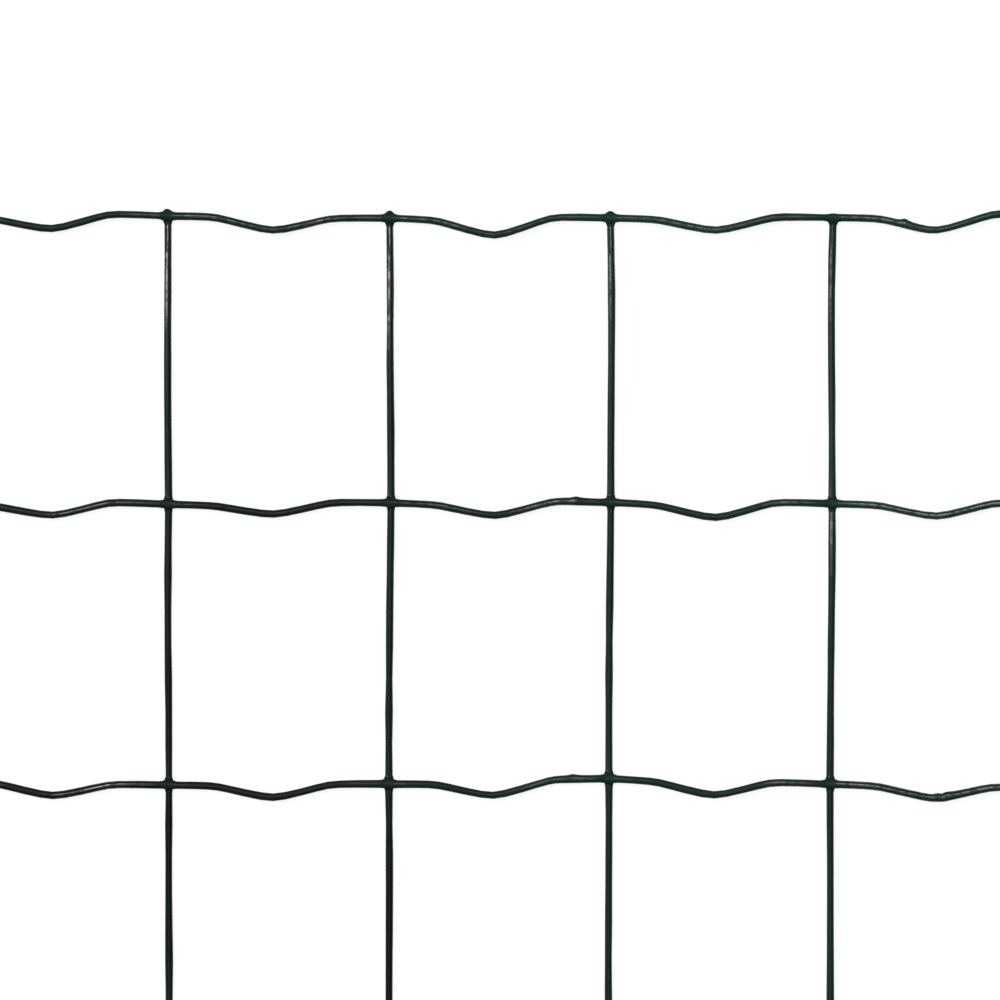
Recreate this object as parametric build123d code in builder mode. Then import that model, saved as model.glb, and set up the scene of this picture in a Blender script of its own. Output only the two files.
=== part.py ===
import os
from math import cos, pi, sin, sqrt

from build123d import *

# Plastic-coated welded wire mesh for a fence: one flat length of it, lying face up.
# X runs along the length, +Y points to the sheet's top edge and +Z out of its face.
# The origin is on the floor under the middle of the sheet. All sizes are in millimetres.

# Wire, over its coating
wire_diameter = 2.5
wire_sides = 6
weld_sink = 0.7  # how deep the two wires of a crossing sit in each other

# Mesh: straight upright wires one cell width apart, crimped line wires one cell height apart
cell_width = 78.0
cell_height = 100.0
columns = 25
rows = 8

# Wire ends
line_wire_stub = 25.0  # from the axis of the outermost upright wire to the cut end
upright_wire_stub = 1.0  # how far an upright wire's end stands out past the edge line wire
upright_end_chamfer = 0.5  # the coating rounds these ends off

# Crimp of a line wire in each cell: down from a shoulder to a dip, and up to the next shoulder
crimp_depth = 4.5  # from the row's height down to the dip
crimp_fall = 20.0  # run along X from the first shoulder to the dip
crimp_rise = 20.5  # run along X from the dip to the second shoulder
crimp_offset = 2.0  # from the middle of the cell back to the dip
first_shoulder_drop = 0.6  # the first shoulder is this far under the row's height
second_shoulder_lift = 0.3  # the second shoulder is this far over it

# A wire is a prism with as much section as the round wire, and it lies on one of its flats
wire_area = pi * wire_diameter**2 / 4
corner_radius = sqrt(2 * wire_area / (wire_sides * sin(2 * pi / wire_sides)))
flat_radius = corner_radius * cos(pi / wire_sides)
flat_down_turn = -90 - 180 / wire_sides

# The upright wires lie on the floor, and the line wires are welded on top of them
upright_axis_z = flat_radius
line_axis_z = upright_axis_z + 2 * flat_radius - weld_sink

mesh_width = columns * cell_width
mesh_height = rows * cell_height


def crimped_axis():
    """Points along the middle of a line wire, from its left cut end to its right one."""
    half_length = mesh_width / 2 + line_wire_stub
    points = [(-half_length, -first_shoulder_drop, line_axis_z)]
    for column in range(columns):
        dip_x = (column + 0.5) * cell_width - mesh_width / 2 - crimp_offset
        points += [
            (dip_x - crimp_fall, -first_shoulder_drop, line_axis_z),
            (dip_x, -crimp_depth, line_axis_z),
            (dip_x + crimp_rise, second_shoulder_lift, line_axis_z),
        ]
    return points + [(half_length, second_shoulder_lift, line_axis_z)]


# One line wire: its section swept along the crimps, with a mitre at each bend
with BuildPart() as line_wire:
    with BuildLine() as axis:
        Polyline(*crimped_axis())
    with BuildSketch(Plane(origin=axis.line @ 0, x_dir=(0, 1, 0), z_dir=(1, 0, 0))):
        RegularPolygon(radius=corner_radius, side_count=wire_sides, rotation=flat_down_turn)
    sweep(transition=Transition.RIGHT)

# One upright wire: straight, with both ends standing out past the edge line wires
upright_wire_length = mesh_height + wire_diameter + 2 * upright_wire_stub
with BuildPart() as upright_wire:
    with BuildSketch(Plane(origin=(0, 0, upright_axis_z), x_dir=(-1, 0, 0), z_dir=(0, 1, 0))):
        RegularPolygon(radius=corner_radius, side_count=wire_sides, rotation=flat_down_turn)
    extrude(amount=upright_wire_length / 2, both=True)
    chamfer(upright_wire.faces().filter_by(Axis.Y).edges(), length=upright_end_chamfer)

# The dips of the lowest line wire may reach further out than the upright wires' ends
line_box = line_wire.part.bounding_box()
lowest_y = min(line_box.min.Y - mesh_height / 2, -upright_wire_length / 2)
highest_y = max(line_box.max.Y + mesh_height / 2, upright_wire_length / 2)
mesh_center_y = -(lowest_y + highest_y) / 2

# The sheet: every crossing is welded, so all the wires are one piece under one coating
with BuildPart() as mesh_sheet:
    with Locations((0, mesh_center_y, 0)):
        with GridLocations(1, cell_height, 1, rows + 1):
            add(line_wire.part)
        with GridLocations(cell_width, 1, columns + 1, 1):
            add(upright_wire.part)

mesh_sheet.part.label = "mesh_sheet"

os.makedirs("parts", exist_ok=True)
export_step(mesh_sheet.part, "parts/mesh_sheet.step")
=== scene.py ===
import math
import random

import bmesh
import bpy
from mathutils import Matrix, Vector, noise


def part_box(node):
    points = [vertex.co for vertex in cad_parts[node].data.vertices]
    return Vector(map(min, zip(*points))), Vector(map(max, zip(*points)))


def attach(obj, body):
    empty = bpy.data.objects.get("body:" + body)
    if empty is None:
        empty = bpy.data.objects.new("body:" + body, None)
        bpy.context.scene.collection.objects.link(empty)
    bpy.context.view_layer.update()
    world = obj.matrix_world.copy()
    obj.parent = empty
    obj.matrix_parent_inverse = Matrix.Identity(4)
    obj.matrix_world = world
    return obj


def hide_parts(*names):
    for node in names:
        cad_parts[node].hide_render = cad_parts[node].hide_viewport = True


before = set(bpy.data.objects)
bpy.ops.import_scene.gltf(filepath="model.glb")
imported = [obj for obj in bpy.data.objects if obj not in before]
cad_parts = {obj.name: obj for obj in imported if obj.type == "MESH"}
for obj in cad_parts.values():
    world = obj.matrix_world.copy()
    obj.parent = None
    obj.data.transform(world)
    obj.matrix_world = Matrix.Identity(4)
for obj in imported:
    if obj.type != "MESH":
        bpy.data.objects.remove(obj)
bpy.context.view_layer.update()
mm = 0.001
tiny = 1e-6
sheetLow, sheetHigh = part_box("mesh_sheet")
print("frame loaded, sheet of", [round(x, 4) for x in sheetHigh - sheetLow], "m")

# camera, straight down on the part of the sheet that the photograph shows
view = dict(
    distance=1.5,
    frameWidth=353.5 * mm,    # of the sheet, across the picture
    belowTopRow=99.9 * mm,    # from the top line wire down to the picture's middle
    sensor=36.0,
    reach=200,                # how far it sees
)

# the welded mesh; a wire starts as a cage with few sides, which a subdivision rounds
mesh = dict(
    columns=25,
    rows=8,
    cellWidth=78 * mm,
    cellHeight=100 * mm,
    overTopRow=2.25 * mm,     # from the top row's axis to the sheet's edge
    cageSides=6,
    lineCage=1.62 * mm,       # radius of the cage
    uprightCage=1.58 * mm,
    flatness=0.92,            # height of a wire over its width
    uprightZ=1.24 * mm,
    layerGap=1.62 * mm,       # from the axis of an upright wire up to that of a line wire
    weldLoop=1.85 * mm,       # from a weld's middle to the wires' loops in it
    # corners of the coating's web in a crossing, over and under the line wire: how far they lie
    # from the weld along the line wire, and along the upright wire
    webAbove=(2.0 * mm, 1.85 * mm),
    webBelow=(1.7 * mm, 1.55 * mm),
    edgeWeb=0.5 * mm,         # so much further out at the sheet's edge wires, on the mesh's side
    webHeight=0.68,           # of the layer gap, from the axis of the upright wire
    flatten=0.5 * mm,         # in a weld a line wire's top is pressed down
    swell=0.05 * mm,          # and its sides stand out
    besideWeld=3.1 * mm,      # past this a wire has its plain section
    besideKept=(0.8, 1),      # how far the rounding keeps a loop there, on line and upright wires
    # loops of a line wire in a cell: from the left weld, and over the row
    crimp=[(15.4, -0.45), (19.6, -1.3), (34.4, -4.6), (39.6, -4.5), (54.4, -0.5), (58.6, 0.35)],
    between=4,                # parts that an upright wire's loops divide a cell into
    halfwayUp=0.02,           # so that the loop halfway between two rows counts with the upper one
    # loops of an upright wire's rounded end: from the last weld, up from its axis, share of width
    nub=[(2.3, 0.5, 0.9), (2.95, 0.65, 0.5)],
    nubWeb=(2.5 * mm, 2.25 * mm, 0.2 * mm),   # the web's corners beside it: along, out, and higher
    nubRoot=1.3 * mm,         # a shorter end is pressed back towards this, from the last weld
    coatThickness=0.25 * mm,
)
topRowY = sheetHigh.y - mesh["overTopRow"]
bottomRowY = topRowY - mesh["rows"] * mesh["cellHeight"]
firstUprightX = -mesh["columns"] * mesh["cellWidth"] / 2
uprightZ = mesh["uprightZ"]
lineZ = uprightZ + mesh["layerGap"]
webZ = uprightZ + mesh["webHeight"] * mesh["layerGap"]


def addCamera():
    data = bpy.data.cameras.new("camera")
    data.sensor_width = view["sensor"]
    data.lens = view["sensor"] * view["distance"] / view["frameWidth"]
    data.clip_end = view["reach"]
    camera = bpy.data.objects.new("camera", data)
    camera.location = (0, topRowY - view["belowTopRow"], lineZ + view["distance"])
    bpy.context.scene.collection.objects.link(camera)
    bpy.context.scene.camera = camera


addCamera()
print("camera placed")


def ringEdges(ring):
    return list({e for v in ring for e in v.link_edges if e.other_vert(v) in ring})


def extrudeWire(bm, direction, cage, stops):
    # a stop is the middle of a ring, with its share of the full width, its turn about Z, and how
    # far the rounding keeps the ring where it is
    crease = bm.edges.layers.float.new("crease_edge")
    lying = Matrix.Rotation(math.pi / 2, 4, "X") @ Matrix.Rotation(math.pi / 2, 4, "Z")
    if direction == "x":
        lying = Matrix.Rotation(-math.pi / 2, 4, "Z") @ lying
    first = stops[0]
    place = Matrix.Translation(first["at"]) @ lying
    radius = cage * first.get("width", 1)
    sides = mesh["cageSides"]
    ring = bmesh.ops.create_circle(bm, segments=sides, radius=radius, matrix=place)["verts"]
    flat = (1, 1, mesh["flatness"])
    bmesh.ops.scale(bm, vec=flat, verts=ring, space=Matrix.Translation(-first["at"]))
    edges = ringEdges(ring)
    rings = [ring]
    for before, stop in zip(stops, stops[1:]):
        made = bmesh.ops.extrude_edge_only(bm, edges=edges)["geom"]
        ring = [x for x in made if isinstance(x, bmesh.types.BMVert)]
        edges = [x for x in made if isinstance(x, bmesh.types.BMEdge) and x.is_boundary]
        bmesh.ops.translate(bm, vec=stop["at"] - before["at"], verts=ring)
        share = stop.get("width", 1) / before.get("width", 1)
        bmesh.ops.scale(bm, vec=[share] * 3, verts=ring, space=Matrix.Translation(-stop["at"]))
        turn = stop.get("turn", 0) - before.get("turn", 0)
        bmesh.ops.rotate(bm, cent=stop["at"], matrix=Matrix.Rotation(turn, 3, "Z"), verts=ring)
        for edge in edges:
            edge[crease] = stop.get("kept", 0)
        rings.append(ring)
    return rings


def seatRing(ring, axisZ, weldX, weldY):
    # the two corners on the other wire's side become corners of the web, where both wires meet
    side = 1 if webZ > axisZ else -1
    for v in ring:
        height = (v.co.z - axisZ) * side
        if height > mesh["lineCage"] / 4:
            along, out = mesh["webAbove"] if v.co.y > weldY else mesh["webBelow"]
            v.co = (weldX + math.copysign(along, v.co.x - weldX),
                    weldY + math.copysign(out, v.co.y - weldY), webZ)
        elif axisZ == lineZ:
            v.co.y += math.copysign(mesh["swell"], v.co.y - weldY)
            if height < -mesh["lineCage"] / 4:
                v.co.z -= mesh["flatten"]


def crimpHeight(x):
    # height of a line wire over its row, x from the weld to its left
    points = [(0, 0), *mesh["crimp"], (mesh["cellWidth"] / mm, 0)]
    for (x0, y0), (x1, y1) in zip(points, points[1:]):
        if x0 * mm <= x <= x1 * mm:
            return (y0 + (y1 - y0) * (x / mm - x0) / (x1 - x0)) * mm
    return 0.0


def addLineWire(bm):
    end = sheetHigh.x
    places = [-end, -end + mesh["coatThickness"]]
    seats = {}
    for i in range(mesh["columns"] + 1):
        x = firstUprightX + i * mesh["cellWidth"]
        places.append(x - mesh["besideWeld"])
        for dx in (-mesh["weldLoop"], mesh["weldLoop"]):
            seats[len(places)] = x
            places.append(x + dx)
        places.append(x + mesh["besideWeld"])
        if i < mesh["columns"]:
            places += [x + dx * mm for dx, _ in mesh["crimp"]]
    places += [end - mesh["coatThickness"], end]

    def point(k):
        x = places[min(max(k, 0), len(places) - 1)]
        inMesh = abs(x) < -firstUprightX
        inCell = (x - firstUprightX) % mesh["cellWidth"]
        return Vector((x, crimpHeight(inCell) if inMesh else 0, lineZ))

    stops = []
    for k in range(len(places)):
        way = point(k + 1) - point(k - 1)
        turn = 0 if k in seats else math.atan2(way.y, way.x)
        beside = (k - 1 in seats or k + 1 in seats) and k not in seats
        stops.append(dict(at=point(k), turn=turn, kept=mesh["besideKept"][0] * beside))
    rings = extrudeWire(bm, "x", mesh["lineCage"], stops)
    for k, x in seats.items():
        seatRing(rings[k], lineZ, x, 0)
    return rings


def addUprightWire(bm):
    stops = []
    seats = {}

    def stop(y, z=0.0, width=1.0, kept=0):
        stops.append(dict(at=Vector((0, y, uprightZ + z)), width=width, kept=kept))

    for out, up, width in reversed(mesh["nub"]):
        stop(bottomRowY - out * mm, up * mm, width)
    for j in range(mesh["rows"] + 1):
        y = bottomRowY + j * mesh["cellHeight"]
        if j > 0:
            stop(y - mesh["besideWeld"], kept=mesh["besideKept"][1])
        for dy in (-mesh["weldLoop"], mesh["weldLoop"]):
            seats[len(stops)] = y
            stop(y + dy)
        if j < mesh["rows"]:
            stop(y + mesh["besideWeld"], kept=mesh["besideKept"][1])
            for k in range(1, mesh["between"]):
                stop(y + k / mesh["between"] * mesh["cellHeight"])
    for out, up, width in mesh["nub"]:
        stop(topRowY + out * mm, up * mm, width)
    rings = extrudeWire(bm, "y", mesh["uprightCage"], stops)
    for k, y in seats.items():
        seatRing(rings[k], uprightZ, 0, y)
    return rings


def closeEnds(bm, rings):
    return [bmesh.ops.edgeloop_fill(bm, edges=ringEdges(ring))["faces"][0]
            for ring in (rings[0], rings[-1])]


def atWeb(v):
    return abs(v.co.z - webZ) < tiny


def openWebs(bm):
    # both wires lose the faces that they would share inside a weld
    inner = [f for f in bm.faces if all(atWeb(v) for v in f.verts)]
    bmesh.ops.delete(bm, geom=inner, context="FACES_ONLY")


def repeat(bm, steps):
    geom = bm.verts[:] + bm.edges[:] + bm.faces[:]
    for step in steps:
        made = bmesh.ops.duplicate(bm, geom=geom)["geom"]
        verts = [x for x in made if isinstance(x, bmesh.types.BMVert)]
        bmesh.ops.translate(bm, vec=step, verts=verts)


def buildSheet():
    sheet = bmesh.new()
    wires = bpy.data.meshes.new("wires")

    bm = bmesh.new()
    for cap in closeEnds(bm, addLineWire(bm)):
        bmesh.ops.inset_individual(bm, faces=[cap], thickness=mesh["coatThickness"])
        cap.material_index = 1
    openWebs(bm)
    bmesh.ops.translate(bm, vec=(0, bottomRowY, 0), verts=bm.verts[:])
    repeat(bm, [(0, j * mesh["cellHeight"], 0) for j in range(1, mesh["rows"] + 1)])
    bm.to_mesh(wires)
    sheet.from_mesh(wires)
    bm.free()
    print("line wires made")

    bm = bmesh.new()
    closeEnds(bm, addUprightWire(bm))
    openWebs(bm)
    bmesh.ops.translate(bm, vec=(firstUprightX, 0, 0), verts=bm.verts[:])
    repeat(bm, [(i * mesh["cellWidth"], 0, 0) for i in range(1, mesh["columns"] + 1)])
    bm.to_mesh(wires)
    sheet.from_mesh(wires)
    bm.free()
    bpy.data.meshes.remove(wires)
    print("upright wires made")

    bmesh.ops.remove_doubles(sheet, verts=sheet.verts[:], dist=tiny)
    return sheet


def nearestRow(y):
    row = round((y - bottomRowY) / mesh["cellHeight"] + mesh["halfwayUp"])
    return min(max(row, 0), mesh["rows"])


def nearestColumn(x):
    return min(max(round((x - firstUprightX) / mesh["cellWidth"]), 0), mesh["columns"])


def nearestWeld(co):
    return Vector((firstUprightX + nearestColumn(co.x) * mesh["cellWidth"],
                   bottomRowY + nearestRow(co.y) * mesh["cellHeight"], webZ))


def widenEdgeWebs(bm):
    along, out, rise = mesh["nubWeb"]
    corners = [v for v in bm.verts if atWeb(v) and nearestRow(v.co.y) in (0, mesh["rows"])]
    for v in corners:
        weld = nearestWeld(v.co)
        way = v.co - weld
        if way.y * weld.y > 0:
            v.co = weld + Vector((math.copysign(along, way.x), math.copysign(out, way.y), rise))
        else:
            v.co += Vector((math.copysign(mesh["edgeWeb"], way.x),
                            math.copysign(mesh["edgeWeb"], way.y), 0))


# blobs of coating that ran together on the line wires, in millimetres
lumps = dict(
    # in the photograph: row, cell, place in it, half of the length, how far out, to which side
    seen=[(7, 12, 65.4, 1.9, 0.5, 1), (6, 12, 65.0, 1.9, 0.45, 1), (8, 14, 25.5, 1.7, 0.75, 1),
          (6, 14, 39.5, 3.2, 0.8, 1)],
    seenRows=range(6, 9),
    seenCells=range(10, 15),
    seed=5,
    others=26,                # drawn for the whole sheet, and left out where the photograph shows it
    place=(8.0, 70.0),
    half=(1.2, 3.0),
    out=(0.5, 1.2),
    crown=0.4,                # share of the length that stands out whole
)


def addLumps(bm):
    draw = random.Random(lumps["seed"])
    spots = list(lumps["seen"])
    for _ in range(lumps["others"]):
        row, cell = draw.randrange(mesh["rows"] + 1), draw.randrange(mesh["columns"])
        spot = [draw.uniform(*lumps[name]) for name in ("place", "half", "out")]
        side = draw.choice((-1, 1))
        if row not in lumps["seenRows"] or cell not in lumps["seenCells"]:
            spots.append((row, cell, *spot, side))
    for row, cell, place, half, out, side in spots:
        addLump(bm, row, cell, place * mm, half * mm, out * side * mm)
    print(len(spots), "lumps")


def addLump(bm, row, cell, place, half, out):
    axis = Vector((firstUprightX + cell * mesh["cellWidth"] + place,
                   bottomRowY + row * mesh["cellHeight"] + crimpHeight(place), lineZ))
    near = [f for f in bm.faces if (f.calc_center_median() - axis).length < mesh["cellWidth"] / 5]
    geom = list({x for f in near for x in (f, *f.edges, *f.verts)})
    crown = half * lumps["crown"]
    for dx in (-half, half, -crown, crown):
        at = axis + Vector((dx, 0, 0))
        cut = bmesh.ops.bisect_plane(bm, geom=geom, plane_co=at, plane_no=(1, 0, 0))
        geom = cut["geom"]
        for v in cut["geom_cut"]:
            if abs(dx) < half and isinstance(v, bmesh.types.BMVert) and (v.co.y - axis.y) * out > 0:
                v.co.y += abs(v.co.y - axis.y) * out / mesh["lineCage"]


# how far the real mesh strays from its even pattern, in millimetres; the photograph shows the welds
# of the upper rows on four upright wires
stray = dict(
    seed=11,
    lift=0.4,                 # of a weld, up or down the sheet
    sway=0.35,                # of an upright wire, to the left or right
    depth=0.4,                # of a crimp
    lean=0.25,                # of a crimp's slopes
    nub=0.25,                 # share that an upright wire's end is shorter by
    nubLean=0.1,
    web=0.15,                 # of the webs' corners, out or in
    thickness=(0.24, 0.14),   # of the upright and the line wires
    thicknessScale=73,        # loops of noise per metre
    firstSeen=10,             # the upright wire just left of the photograph
    # the welds' lifts, and how deep the crimps are and how far they lean, from the left
    seenLifts={8: (0.6, 0.5, -0.25, -0.2, 0, 1.4), 7: (-1, -1.4, -0.95, -0.8, -1.2, -1.15),
               6: (0.6, -0.65, -0.3, 1.55, -0.35, -1.8)},
    seenDepths={8: (0, 0.3, 1.7, 0, 0.7), 7: (-0.45, -0.8, 0, 0.65, 0),
                6: (0, 0.15, 0.5, 0.4, -0.3)},
    seenLeans={8: (0.5, -0.45, 0, 0, 0), 7: (0.4, 0.15, 0.15, 0.15, 0),
               6: (-0.3, -0.2, -0.2, 0, -0.1)},
    # of four upright wires, from the top row down, at each loop
    seenSways=[(-0.5, -0.5, -0.7, -0.5, -0.3, -0.55, -0.5, -0.2, -0.15, -0.25, -0.2, 0),
               (0, 0.3, 0, 0.4, 0.4, 0.15, -0.15, -0.3, -0.3, -0.1, -0.2, -0.3),
               (0.15, 0.55, 0.5, 0.2, 0.2, 0, -0.35, -0.5, -0.45, -0.45, -0.6, -0.75),
               (0.8, 0.2, 0.35, 0.5, 0.55, 0.55, 0.15, 0, -0.2, -0.1, -0.1, -0.1)],
    seenNubs=(0.15, 0.03, 0.22, 0.86),
    seenNubLeans=(-0.2, -0.05, -0.1, 0.05),
    # how far the webs' corners are moved out over and under the welds, of all four of a row
    seenWebs={8: (0, 0), 7: (-0.1, 0), 6: (0.25, -0.1)},
)


class Stray:
    def __init__(self):
        self.draw = random.Random(stray["seed"])
        rows, columns = mesh["rows"] + 1, mesh["columns"] + 1
        self.lifts = self.table(rows, columns, "lift")
        self.sways = self.table(rows * mesh["between"], columns, "sway")
        self.depths = self.table(rows, columns, "depth")
        self.leans = self.table(rows, columns, "lean")
        self.nubs = self.table(1, columns, "nub")[0]
        self.nubLeans = self.table(1, columns, "nubLean")[0]
        self.webs = [self.table(rows, columns, "web") for _ in range(2)]
        first = stray["firstSeen"]
        seenTables = dict(seenLifts=self.lifts, seenDepths=self.depths, seenLeans=self.leans)
        for name, table in seenTables.items():
            for row, seen in stray[name].items():
                table[row][first:first + len(seen)] = seen
        top = mesh["rows"] * mesh["between"]
        for i, seen in enumerate(stray["seenSways"]):
            for k, sway in enumerate(seen):
                self.sways[top - k][first + 1 + i] = sway
        uprights = slice(first + 1, first + 1 + len(stray["seenNubs"]))
        self.nubs[uprights] = stray["seenNubs"]
        self.nubLeans[uprights] = stray["seenNubLeans"]
        for row, seen in stray["seenWebs"].items():
            for table, moved in zip(self.webs, seen):
                table[row][uprights] = [moved] * len(stray["seenNubs"])

    def table(self, rows, columns, name):
        return [[self.draw.uniform(-1, 1) * stray[name] for _ in range(columns)]
                for _ in range(rows)]

    def share(self, along, length):
        # a weld and the wire just beside it move as one
        return min(max((along - mesh["besideWeld"]) / (length - 2 * mesh["besideWeld"]), 0), 1)

    def ofLine(self, x, j):
        i = min(max(int((x - firstUprightX) // mesh["cellWidth"]), 0), mesh["columns"] - 1)
        inCell = x - firstUprightX - i * mesh["cellWidth"]
        s = self.share(inCell, mesh["cellWidth"])
        sways = self.sways[j * mesh["between"]]
        shift = Vector((sways[i] * (1 - s) + sways[i + 1] * s,
                        self.lifts[j][i] * (1 - s) + self.lifts[j][i + 1] * s, 0))
        if 0 < s < 1:
            deepest = min(y for _, y in mesh["crimp"])
            shift.y -= self.depths[j][i] * crimpHeight(inCell) / mm / deepest
            shift.y -= self.leans[j][i] * math.sin(inCell / mesh["cellWidth"] * math.tau)
        return shift

    def ofUpright(self, i, y):
        up = (y - bottomRowY) / mesh["cellHeight"]
        j = min(max(int(up), 0), mesh["rows"] - 1)
        t = self.share((up - j) * mesh["cellHeight"], mesh["cellHeight"])
        loop = min(max(round(up * mesh["between"]), 0), mesh["rows"] * mesh["between"])
        lift = self.lifts[j][i] * (1 - t) + self.lifts[j + 1][i] * t
        shift = Vector((self.sways[loop][i], lift, 0))
        past = (max(y - topRowY, bottomRowY - y) - mesh["nubRoot"]) / mm
        if past > 0:
            shift.y -= past * self.nubs[i] * math.copysign(1, y)
            shift.x += past * self.nubLeans[i]
        return shift

    def ofWeb(self, way, i, j):
        moved = self.webs[0 if way.y > 0 else 1][j][i]
        return Vector((math.copysign(moved, way.x), math.copysign(moved, way.y), 0))


# how glossy the wires are, by row; the photograph shows these stretches of three rows
gloss = dict(
    plain={8: 0.32, 7: 0.08, 6: 0.04},
    # from and to in millimetres from the sheet's middle, and gloss
    seen={8: [(-178, -134, 0.05), (-134, -118, 0.8), (-110, -85, 0.6), (-73, -60, 1.1),
              (-34, -14, 0.7), (8, 40, 0.2), (58, 74, 0.6), (106, 116, 0.6), (116, 142, 0.9)],
          7: [(-157, -136, 0.45), (-30, -8, 0.5), (15, 27, 1), (97, 108, 0.8), (118, 178, 1.3)],
          6: [(-158, -150, 0.5), (-150, -130, 1), (8, 34, 0.35), (94, 116, 0.8),
              (116, 150, 1.7), (150, 160, 0.6), (160, 178, 1)]},
    seenReach=178,            # of the photograph, to both sides
    # of its four upright wires, at the top row and at the next loops down, and further down
    uprights=[(1, 1, 0.1), (1.2, 1.2, 1), (0.75, 0.55, 0), (0.2, 0.45, 0)],
    lowUprights=0.4,
    aboveWeld=0.5,            # how much an upright wire's loop above a weld is like the weld
    # a piece of the fourth one leans over to the lamps: from and to in millimetres down the sheet,
    # gloss at its top, where the gloss ends, height of its relief, and where that goes back
    leaning=dict(column=14, start=103, end=125, gloss=0.9, dull=119, rise=2 * mm, back=(150, 195)),
    # elsewhere: loops of noise per metre, and its middle and swing
    scale=22,
    middle=0.4,
    swing=1.6,
)


def strayGloss(place):
    share = gloss["middle"] + gloss["swing"] * noise.noise(place * gloss["scale"])
    return min(max(share, 0), 1)


def lineGloss(x, row):
    if abs(x) > gloss["seenReach"] * mm or row not in gloss["plain"]:
        return strayGloss(Vector((x, row, 0)))
    for left, right, share in gloss["seen"][row]:
        if left * mm < x < right * mm:
            return share
    return gloss["plain"][row]


def leanHeight(column, y):
    piece = gloss["leaning"]
    if column != piece["column"]:
        return 0
    down = (topRowY - y) / mm
    up = (down - piece["start"]) / (piece["end"] - piece["start"])
    back = (piece["back"][1] - down) / (piece["back"][1] - piece["back"][0])
    return min(max(min(up, back), 0), 1) * piece["rise"]


def uprightGloss(column, y):
    seen = column - stray["firstSeen"] - 1
    if not 0 <= seen < len(gloss["uprights"]):
        return strayGloss(Vector((column, y, 0)))
    piece = gloss["leaning"]
    down = (topRowY - y) / mm
    if column == piece["column"] and piece["start"] - 1 < down < piece["end"] + 1:
        return (piece["dull"] - down) / (piece["dull"] - piece["start"]) * piece["gloss"]
    loop = max(round(down * mm / mesh["cellHeight"] * mesh["between"]), 0)
    shares = gloss["uprights"][seen]
    return shares[loop] if loop < len(shares) else gloss["lowUprights"]


def letStray(bm):
    # the welds, the line wires, the gloss and the leaning piece are marked too, for the coating
    names = ("weld", "line", "gloss", "lean")
    welds, lines, glosses, leans = [bm.verts.layers.float.new(name) for name in names]
    strays = Stray()
    for v in filter(atWeb, bm.verts):
        way = v.co - nearestWeld(v.co)
        v.co += strays.ofWeb(way, nearestColumn(v.co.x), nearestRow(v.co.y)) * mm
    for v in bm.verts:
        i, j = nearestColumn(v.co.x), nearestRow(v.co.y)
        way = v.co - nearestWeld(v.co)
        if abs(way.x) > mesh["besideWeld"] - tiny:
            shift = strays.ofLine(v.co.x, j)
            v[lines] = 1
            v[glosses] = lineGloss(v.co.x, j)
        else:
            shift = strays.ofUpright(i, v.co.y)
            v[glosses] = uprightGloss(i, v.co.y)
            v[leans] = leanHeight(i, v.co.y)
            if abs(way.y) < mesh["besideWeld"] - tiny:
                v[welds] = 1
            elif 0 < way.y < 2 * mesh["besideWeld"]:
                v[welds] = gloss["aboveWeld"]
        v.co += shift * mm


sheetMesh = buildSheet()
widenEdgeWebs(sheetMesh)
addLumps(sheetMesh)
letStray(sheetMesh)
print("sheet welded,", 2 * sum(len(f.verts) for f in sheetMesh.faces), "triangles once rounded")


class Value:
    # an output socket of a finish's nodes that can be added, multiplied and so on
    def __init__(self, finish, socket):
        self.finish = finish
        self.socket = socket

    def math(self, operation, *inputs, clamp=False):
        settings = dict(operation=operation, use_clamp=clamp)
        return self.finish.node("ShaderNodeMath", settings, dict(enumerate(inputs)))

    def __add__(self, other):
        return self.math("ADD", self, other)

    def __sub__(self, other):
        return self.math("SUBTRACT", self, other)

    def __rsub__(self, other):
        return self.math("SUBTRACT", other, self)

    def __mul__(self, other):
        return self.math("MULTIPLY", self, other)

    def sine(self):
        return self.math("SINE", self)

    def between(self, low, high):
        # 0 below low, 1 over high
        return self.math("MULTIPLY", self - low, 1 / (high - low), clamp=True)


class Finish:
    mixSockets = dict(FLOAT=(2, 0), RGBA=(6, 2))

    def __init__(self, name):
        self.material = bpy.data.materials.new(name)
        self.material.use_nodes = True
        self.tree = self.material.node_tree
        self.tree.nodes.clear()

    def node(self, kind, settings, inputs, output=0):
        made = self.tree.nodes.new(kind)
        for key, setting in settings.items():
            setattr(made, key, setting)
        for key, x in inputs.items():
            if isinstance(x, Value):
                self.tree.links.new(x.socket, made.inputs[key])
            else:
                made.inputs[key].default_value = x
        return Value(self, made.outputs[output]) if made.outputs else None

    def mix(self, share, low, high, kind="FLOAT"):
        first, result = self.mixSockets[kind]
        inputs = {0: share, first: low, first + 1: high}
        return self.node("ShaderNodeMix", dict(data_type=kind), inputs, result)

    def output(self, shader):
        self.node("ShaderNodeOutputMaterial", {}, {0: shader})
        return self.material


# green plastic over the wires; its skin is drawn out along them, and the gloss breaks into streaks
coating = dict(
    black=(0.0034, 0.0055, 0.005, 1),
    green=(0.0071, 0.0285, 0.0212, 1),
    roughness=(0.28, 0.5),    # of the upright wires, and of the line wires and the welds
    specular=0.09,
    # a glossy skin lies over the beads and less between them, and none of it on the welds
    skinRoughness=0.07,
    skinSpecular=0.5,
    skinSpan=(0.37, 0.57),
    skinLeast=0.2,
    # loops of noise per metre across the wires, share of that along them, and height of the relief
    beads=(650, 0.75),
    ripples=(400, 0.2, 0.06 * mm),
    bow=(14, 1, 0.3 * mm),
    tone=7,
    toneSpan=(0.42, 0.62),
    # a slow change between green and black: radians per metre along and across the sheet, and start
    drift=((9, 4, 0), -1.1),
    # how green the coating is, from 0 to 1, and how much of that comes from what varies
    hue=dict(plain=0.23, tone=0.35, beads=0.1, drift=0.33),
    weldHue=0.75,
    weldShare=0.35,
)


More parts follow.
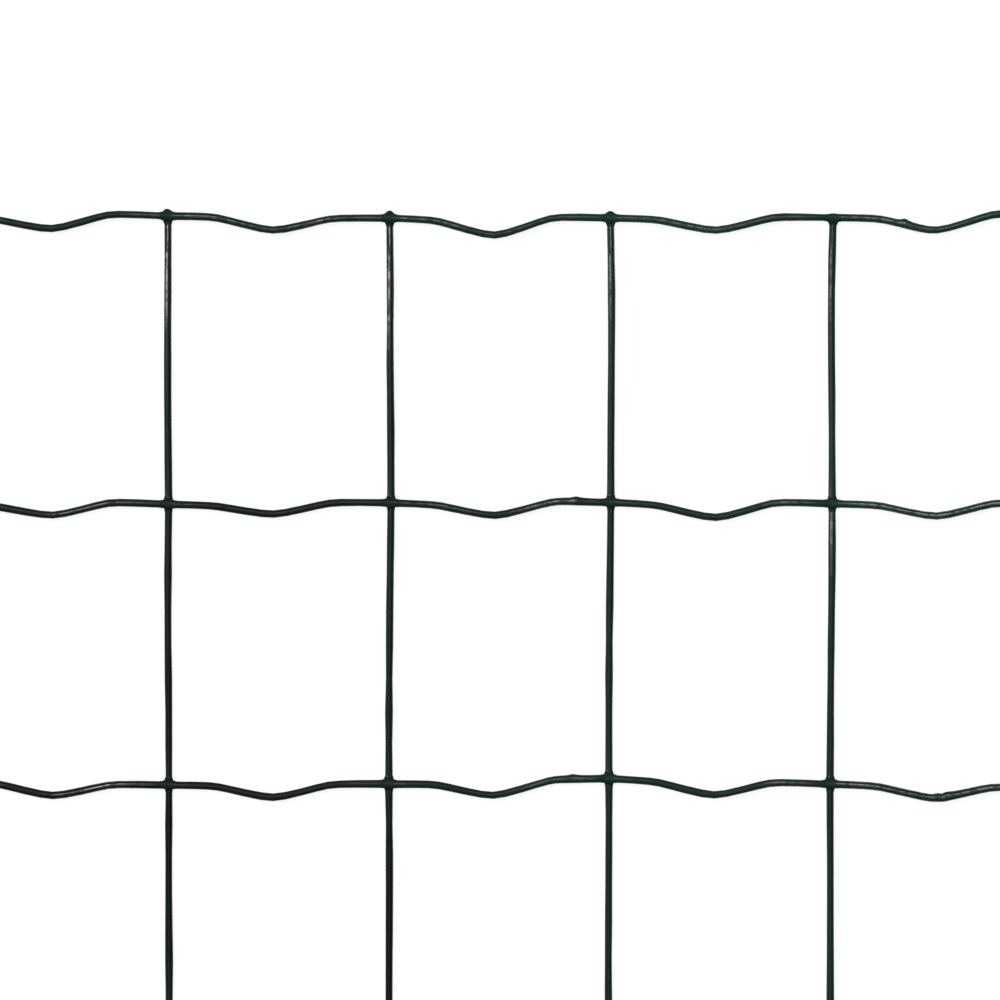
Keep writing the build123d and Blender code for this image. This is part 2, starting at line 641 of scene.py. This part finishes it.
def coatingFinish():
    f = Finish("green_coating")
    place = f.node("ShaderNodeTexCoord", {}, {}, "Object")
    weld, onLine, shine, lean = [f.node("ShaderNodeAttribute", dict(attribute_name=name), {}, "Fac")
                                 for name in ("weld", "line", "gloss", "lean")]

    def alongWires(name, detail):
        scale, stretch = coating[name][:2]
        ways = []
        for share in ((1, stretch, 1), (stretch, 1, 1)):
            vector = f.node("ShaderNodeVectorMath", dict(operation="MULTIPLY"), {0: place, 1: share})
            inputs = {"Vector": vector, "Scale": scale, "Detail": detail}
            ways.append(f.node("ShaderNodeTexNoise", {}, inputs))
        return f.mix(onLine, *ways)

    beads = alongWires("beads", 1)
    relief = (alongWires("ripples", 2) * coating["ripples"][2]
              + alongWires("bow", 0) * coating["bow"][2] + lean)
    bump = f.node("ShaderNodeBump", {}, {"Distance": 1, "Height": relief})
    tone = f.node("ShaderNodeTexNoise", {}, {"Vector": place, "Scale": coating["tone"], "Detail": 3})
    turn, start = coating["drift"]
    way = f.node("ShaderNodeVectorMath", dict(operation="DOT_PRODUCT"), {0: place, 1: turn}, 1)
    drift = (way + start).sine()
    shares = coating["hue"]
    hue = (tone.between(*coating["toneSpan"]) * shares["tone"] + beads * shares["beads"]
           + drift * shares["drift"] + shares["plain"])
    hue = f.mix(weld * coating["weldShare"], hue, coating["weldHue"])
    color = f.mix(hue, coating["black"], coating["green"], "RGBA")
    roughness = f.mix(f.mix(weld, onLine, 1), *coating["roughness"])
    dull, glossy = [f.node("ShaderNodeBsdfPrincipled", {}, {
        "Base Color": color,
        "Roughness": rough,
        "Specular IOR Level": specular,
        "Normal": bump,
    }) for rough, specular in ((roughness, coating["specular"]),
                               (coating["skinRoughness"], coating["skinSpecular"]))]
    least = coating["skinLeast"]
    skin = shine * (beads.between(*coating["skinSpan"]) * (1 - least) + least) * (1 - weld)
    shader = f.node("ShaderNodeMixShader", {}, {0: skin, 1: dull, 2: glossy})
    return f.output(shader)


# the wires' bare steel in their cut ends
cutSteel = dict(
    marks=3000,               # loops of noise per metre
    dark=(0.3, 0.31, 0.32, 1),
    pale=(0.5, 0.51, 0.52, 1),
    roughness=(0.25, 0.55),
)


def cutFinish():
    f = Finish("cut_steel")
    place = f.node("ShaderNodeTexCoord", {}, {}, "Object")
    marks = f.node("ShaderNodeTexNoise", {}, {"Vector": place, "Scale": cutSteel["marks"]})
    shader = f.node("ShaderNodeBsdfPrincipled", {}, {
        "Base Color": f.mix(marks, cutSteel["dark"], cutSteel["pale"], "RGBA"),
        "Metallic": 1,
        "Roughness": f.mix(marks, *cutSteel["roughness"]),
    })
    return f.output(shader)


def finishSheet(bm):
    for face in bm.faces:
        face.smooth = True
    bmesh.ops.recalc_face_normals(bm, faces=bm.faces[:])
    data = bpy.data.meshes.new("welded_mesh")
    bm.to_mesh(data)
    piece = bpy.data.objects.new("welded_mesh", data)
    bpy.context.scene.collection.objects.link(piece)
    rounding = piece.modifiers.new("rounding", "SUBSURF")
    rounding.levels = rounding.render_levels = 1
    rounded = piece.evaluated_get(bpy.context.evaluated_depsgraph_get())
    bm.clear()
    bm.from_mesh(rounded.data)
    piece.modifiers.clear()
    for v in bm.verts:
        alongX, alongY = stray["thickness"]
        out = Vector((v.normal.x * alongX, v.normal.y * alongY, 0))
        v.co += out * noise.noise(v.co * stray["thicknessScale"]) * mm
    bm.to_mesh(data)
    bm.free()
    data.materials.append(coatingFinish())
    data.materials.append(cutFinish())
    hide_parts("mesh_sheet")
    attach(piece, "root")


finishSheet(sheetMesh)
print("sheet finished")


# plain pale floor, and four large soft lamps: left, past the sheet's top edge, and two overhead
studio = dict(
    floorSize=80,
    floorColor=(0.95, 0.95, 0.95, 1),
    backdropShare=0.9,        # of the floor's white, from itself
    worldLevel=0.05,
    # each lamp: its two ends (out from the picture's middle, up), its two sides, and radiance
    leftLamp=((-0.6, 4.0), (-4.0, 2.0), (0.24, 1.6), 9.5),
    topLamp=((0.4, 4.0), (2.4, 3.3), (-0.9, 0.9), 6),
    overheadLamp=((-0.7, 4.0), (0.4, 4.0), (-0.9, 0.9), 0.6),
    lowerLamp=((-2.0, 3.6), (-0.7, 4.0), (-0.9, 0.9), 1.8),
)


def addFloor():
    bm = bmesh.new()
    bmesh.ops.create_grid(bm, x_segments=1, y_segments=1, size=studio["floorSize"] / 2)
    data = bpy.data.meshes.new("floor")
    bm.to_mesh(data)
    bm.free()
    floor = bpy.data.objects.new("floor", data)
    bpy.context.scene.collection.objects.link(floor)
    f = Finish("floor")
    lit = f.node("ShaderNodeBsdfDiffuse", {}, {"Color": studio["floorColor"]})
    white = f.node("ShaderNodeEmission", {}, {"Color": (1, 1, 1, 1), "Strength": 1})
    seen = f.node("ShaderNodeLightPath", {}, {}, "Is Camera Ray")
    for name in ("Is Glossy Ray", "Is Transmission Ray"):
        seen = seen.math("MAXIMUM", seen, f.node("ShaderNodeLightPath", {}, {}, name))
    share = seen * studio["backdropShare"]
    data.materials.append(f.output(f.node("ShaderNodeMixShader", {}, {0: share, 1: lit, 2: white})))


def addLight():
    world = bpy.data.worlds.new("studio")
    world.use_nodes = True
    background = world.node_tree.nodes["Background"]
    background.inputs["Color"].default_value = (1, 1, 1, 1)
    background.inputs["Strength"].default_value = studio["worldLevel"]
    bpy.context.scene.world = world
    addLamp("left_lamp", "x", *studio["leftLamp"])
    addLamp("top_lamp", "y", *studio["topLamp"])
    addLamp("overhead_lamp", "y", *studio["overheadLamp"])
    addLamp("lower_lamp", "y", *studio["lowerLamp"])


def addLamp(name, axis, near, far, sides, radiance):
    # near and far are the ends of a panel that leans over towards the sheet
    near, far = Vector(near), Vector(far)
    middle = (near + far) / 2
    data = bpy.data.lights.new(name, "AREA")
    data.shape = "RECTANGLE"
    data.size = (far - near).length
    data.size_y = sides[1] - sides[0]
    data.energy = radiance * math.pi * data.size * data.size_y
    lamp = bpy.data.objects.new(name, data)
    side = (sides[0] + sides[1]) / 2
    pictureY = topRowY - view["belowTopRow"]
    lean = math.atan2(near.y - far.y, abs(far.x - near.x))
    if axis == "x":
        lamp.location = (middle.x, pictureY + side, middle.y)
        lamp.rotation_euler = (0, -lean, 0)
    else:
        lamp.location = (side, pictureY + middle.x, middle.y)
        lamp.rotation_euler = (0, lean, math.pi / 2)
    lamp.visible_camera = False
    bpy.context.scene.collection.objects.link(lamp)


addFloor()
addLight()
bpy.context.scene.view_settings.view_transform = "Standard"
print("floor and light placed")
